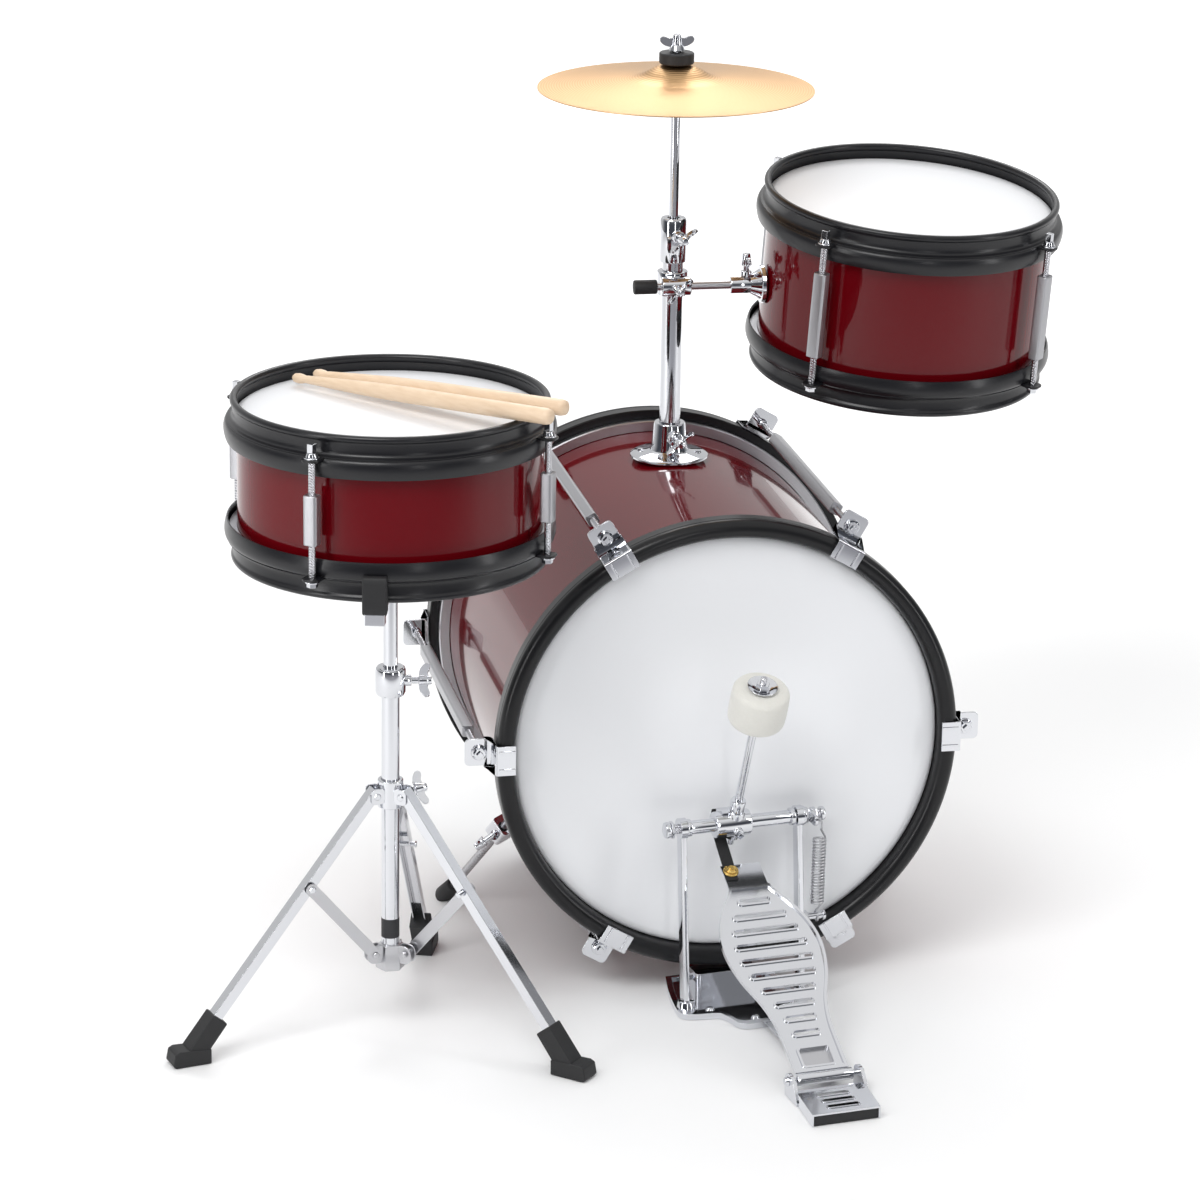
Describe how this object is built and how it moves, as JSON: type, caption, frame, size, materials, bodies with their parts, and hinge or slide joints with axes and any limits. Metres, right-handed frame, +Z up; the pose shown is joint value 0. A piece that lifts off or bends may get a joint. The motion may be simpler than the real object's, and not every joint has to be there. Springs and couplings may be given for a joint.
{
  "type": "drum kit",
  "caption": "Compact junior drum kit: bass drum with pedal and spurs, post with cymbal and tilted tom, snare drum on a folding tripod stand, and drumsticks.",
  "frame": {"origin": "on the floor at the middle of the kit's footprint", "axes": "+Z up, +Y from the player towards the front of the kit, +X to the player's right"},
  "size_m": [0.8906, 0.7172, 0.8414],
  "materials": {
    "shell_wrap": "glossy deep red wrap over a wooden shell",
    "black_hoop": "satin black",
    "black_steel": "satin black paint on pressed steel",
    "drumhead": "smooth white film",
    "chrome": "polished chrome plate",
    "steel": "satin plated steel",
    "cymbal_brass": "lathed brass",
    "rubber": "matte black",
    "felt": "pressed white felt",
    "maple": "clear lacquered light wood",
    "strap": "woven black strap"
  },
  "bodies": {
    "kit": {"bass_shell": "shell_wrap", "bass_batter_hoop": "black_hoop", "bass_front_hoop": "black_hoop", "bass_batter_head": "drumhead", "bass_front_head": "drumhead", "bass_tension_rod_1": "chrome", "bass_tension_rod_2": "chrome", "bass_tension_rod_3": "chrome", "bass_tension_rod_4": "chrome", "bass_tension_rod_5": "chrome", "bass_tension_rod_6": "chrome", "spur_bracket_left": "chrome", "spur_bracket_right": "chrome", "post_base": "chrome", "pedal_frame": "chrome", "heel_plate": "chrome", "pedal_spring": "steel"},
    "spur_leg_left": {"spur_leg_left": "steel"},
    "spur_leg_right": {"spur_leg_right": "steel"},
    "post_base_wing_bolt": {"post_base_wing_bolt": "chrome"},
    "post": {"post_tube": "chrome"},
    "cymbal_rod": {"cymbal_rod": "chrome"},
    "cymbal_washer": {"cymbal_washer": "rubber"},
    "cymbal": {"cymbal": "cymbal_brass"},
    "cymbal_wing_nut": {"cymbal_wing_nut": "chrome"},
    "arm_clamp": {"arm_clamp": "chrome"},
    "arm_clamp_wing_bolt": {"arm_clamp_wing_bolt": "chrome"},
    "tom_arm": {"tom_arm": "steel"},
    "tom": {"tom_shell": "shell_wrap", "tom_top_hoop": "black_steel", "tom_bottom_hoop_and_rods": "black_steel", "tom_top_head": "drumhead", "tom_bottom_head": "drumhead", "tom_bracket": "chrome"},
    "tom_bracket_wing_bolt": {"tom_bracket_wing_bolt": "chrome"},
    "stand_base": {"stand_lower_tube": "chrome"},
    "stand_height_wing_bolt": {"stand_height_wing_bolt": "chrome"},
    "leg_collar": {"leg_collar": "chrome"},
    "stand_top": {"stand_upper_tube": "chrome"},
    "snare": {"snare_shell": "shell_wrap", "snare_top_hoop": "black_steel", "snare_bottom_hoop_and_rods": "black_steel", "snare_top_head": "drumhead", "snare_bottom_head": "drumhead"},
    "drumstick_1": {"drumstick_1": "maple"},
    "drumstick_2": {"drumstick_2": "maple"},
    "footboard": {"footboard": "chrome", "pedal_strap": "strap"},
    "pedal_axle": {"pedal_axle": "chrome"},
    "beater": {"beater_shaft": "steel", "beater_felt": "felt"},
    "stand_leg_1": {"stand_leg_1": "chrome"},
    "stand_brace_1": {"stand_brace_1": "steel"},
    "basket_arm_1": {"basket_arm_1": "steel"},
    "stand_leg_2": {"stand_leg_2": "chrome"},
    "stand_brace_2": {"stand_brace_2": "steel"},
    "basket_arm_2": {"basket_arm_2": "steel"},
    "stand_leg_3": {"stand_leg_3": "chrome"},
    "stand_brace_3": {"stand_brace_3": "steel"},
    "basket_arm_3": {"basket_arm_3": "steel"}
  },
  "joints": [
    {"name": "spur_left_slide", "type": "slide", "parent": "kit", "child": "spur_leg_left", "axis": [-0.2348, 0.6842, -0.6905], "range_m": [-0.012, 0.02]},
    {"name": "spur_right_slide", "type": "slide", "parent": "kit", "child": "spur_leg_right", "axis": [0.2348, 0.6842, -0.6905], "range_m": [-0.012, 0.02]},
    {"name": "post_base_bolt_turn", "type": "hinge", "parent": "kit", "child": "post_base_wing_bolt", "pos_m": [0.082, 0.20541, 0.4562], "axis": [0.0698, -0.9976, 0], "range_deg": [-90, 90]},
    {"name": "post_height", "type": "slide", "parent": "kit", "child": "post", "axis": [0, 0, 1], "range_m": [-0.01, 0.03]},
    {"name": "cymbal_height", "type": "slide", "parent": "post", "child": "cymbal_rod", "axis": [0, 0, 1], "range_m": [-0.04, 0.05]},
    {"name": "cymbal_tilt", "type": "hinge", "parent": "cymbal_rod", "child": "cymbal_washer", "pos_m": [0.0803, 0.22965, 0.8114], "axis": [1, 0, 0], "range_deg": [-5, 5]},
    {"name": "cymbal_spin", "type": "hinge", "parent": "cymbal_washer", "child": "cymbal", "pos_m": [0.0803, 0.22965, 0.8114], "axis": [0, 0, 1], "continuous": true},
    {"name": "cymbal_nut_turn", "type": "hinge", "parent": "cymbal_rod", "child": "cymbal_wing_nut", "pos_m": [0.0803, 0.22965, 0.8254], "axis": [0, 0, 1], "continuous": true},
    {"name": "arm_swivel", "type": "hinge", "parent": "post", "child": "arm_clamp", "pos_m": [0.0803, 0.22965, 0.6045], "axis": [0, 0, 1], "range_deg": [-45, 45]},
    {"name": "arm_bolt_turn", "type": "hinge", "parent": "arm_clamp", "child": "arm_clamp_wing_bolt", "pos_m": [0.07965, 0.20386, 0.6045], "axis": [-0.0252, -0.9997, 0], "range_deg": [-90, 90]},
    {"name": "arm_reach", "type": "slide", "parent": "arm_clamp", "child": "tom_arm", "axis": [0.9997, -0.0252, 0], "range_m": [-0.02, 0.003]},
    {"name": "tom_tilt", "type": "hinge", "parent": "tom_arm", "child": "tom", "pos_m": [0.07988, 0.21316, 0.6045], "axis": [0.9997, -0.0252, 0], "range_deg": [-12, 12]},
    {"name": "tom_bolt_turn", "type": "hinge", "parent": "tom", "child": "tom_bracket_wing_bolt", "pos_m": [0.14708, 0.21146, 0.6178], "axis": [0, 0, 1], "range_deg": [-40, 40]},
    {"name": "stand_place", "type": "slide", "parent": "kit", "child": "stand_base", "axis": [-1, 0, 0], "range_m": [0, 0.1]},
    {"name": "snare_height", "type": "slide", "parent": "stand_base", "child": "stand_top", "axis": [0, 0, 1], "range_m": [-0.03, 0.06]},
    {"name": "stand_bolt_turn", "type": "hinge", "parent": "stand_base", "child": "stand_height_wing_bolt", "pos_m": [-0.21919, -0.08951, 0.3326], "axis": [0.9848, -0.1736, 0], "range_deg": [-90, 90]},
    {"name": "leg_fold", "type": "slide", "parent": "stand_base", "child": "leg_collar", "axis": [0, 0, 1], "range_m": [0, 0.02]},
    {"name": "leg_1_pivot", "type": "hinge", "parent": "leg_collar", "child": "stand_leg_1", "pos_m": [-0.25277, -0.08987, 0.2275], "axis": [0.2334, -0.9724, 0], "range_deg": [0, 9.5]},
    {"name": "brace_1_pivot", "type": "hinge", "parent": "stand_base", "child": "stand_brace_1", "pos_m": [-0.25472, -0.09034, 0.0775], "axis": [0.2334, -0.9724, 0], "range_deg": [-10, 0]},
    {"name": "leg_2_pivot", "type": "hinge", "parent": "leg_collar", "child": "stand_leg_2", "pos_m": [-0.22618, -0.09662, 0.2275], "axis": [0.6691, 0.7431, 0], "range_deg": [0, 9.5]},
    {"name": "brace_2_pivot", "type": "hinge", "parent": "stand_base", "child": "stand_brace_2", "pos_m": [-0.22469, -0.09796, 0.0775], "axis": [0.6691, 0.7431, 0], "range_deg": [-10, 0]},
    {"name": "leg_3_pivot", "type": "hinge", "parent": "leg_collar", "child": "stand_leg_3", "pos_m": [-0.23276, -0.07156, 0.2275], "axis": [-0.9478, 0.319, 0], "range_deg": [0, 9.5]},
    {"name": "brace_3_pivot", "type": "hinge", "parent": "stand_base", "child": "stand_brace_3", "pos_m": [-0.23212, -0.06966, 0.0775], "axis": [-0.9478, 0.319, 0], "range_deg": [-10, 0]},
    {"name": "basket_1_pivot", "type": "hinge", "parent": "stand_top", "child": "basket_arm_1", "pos_m": [-0.24193, -0.10323, 0.424], "axis": [0.9703, -0.2419, 0], "range_deg": [0, 15]},
    {"name": "basket_2_pivot", "type": "hinge", "parent": "stand_top", "child": "basket_arm_2", "pos_m": [-0.22088, -0.08143, 0.424], "axis": [-0.2756, 0.9613, 0], "range_deg": [0, 15]},
    {"name": "basket_3_pivot", "type": "hinge", "parent": "stand_top", "child": "basket_arm_3", "pos_m": [-0.25029, -0.07409, 0.424], "axis": [-0.6947, -0.7193, 0], "range_deg": [0, 15]},
    {"name": "snare_lift", "type": "slide", "parent": "stand_top", "child": "snare", "axis": [0, 0, 1], "range_m": [0, 0.15]},
    {"name": "stick_1_lift", "type": "slide", "parent": "snare", "child": "drumstick_1", "axis": [0, 0, 1], "range_m": [0, 0.1]},
    {"name": "stick_2_lift", "type": "slide", "parent": "snare", "child": "drumstick_2", "axis": [0, 0, 1], "range_m": [0, 0.1]},
    {"name": "footboard_hinge", "type": "hinge", "parent": "kit", "child": "footboard", "pos_m": [0.11447, -0.28807, 0.015], "axis": [0.9903, 0.1392, 0], "range_deg": [-3.9, 0], "stiffness_Nm_per_rad": 6, "springref_deg": 14.32, "deforming": ["pedal_strap"]},
    {"name": "axle_turn", "type": "hinge", "parent": "kit", "child": "pedal_axle", "pos_m": [0.0833, -0.06625, 0.1715], "axis": [0.9903, 0.1392, 0], "range_deg": [-23.1, 0], "deforming": ["pedal_spring"]},
    {"name": "beater_height", "type": "slide", "parent": "pedal_axle", "child": "beater", "axis": [0.0521, -0.371, 0.9272], "range_m": [-0.01, 0.03]}
  ],
  "couplings": [
    {"joint": "axle_turn", "follows": "footboard_hinge", "ratio": 5.9},
    {"joint": "leg_1_pivot", "follows": "leg_fold", "rad_per_m": 7.752},
    {"joint": "brace_1_pivot", "follows": "leg_fold", "rad_per_m": -8.466},
    {"joint": "leg_2_pivot", "follows": "leg_fold", "rad_per_m": 7.752},
    {"joint": "brace_2_pivot", "follows": "leg_fold", "rad_per_m": -8.466},
    {"joint": "leg_3_pivot", "follows": "leg_fold", "rad_per_m": 7.752},
    {"joint": "brace_3_pivot", "follows": "leg_fold", "rad_per_m": -8.466},
    {"joint": "basket_2_pivot", "follows": "basket_1_pivot", "ratio": 1},
    {"joint": "basket_3_pivot", "follows": "basket_1_pivot", "ratio": 1}
  ]
}
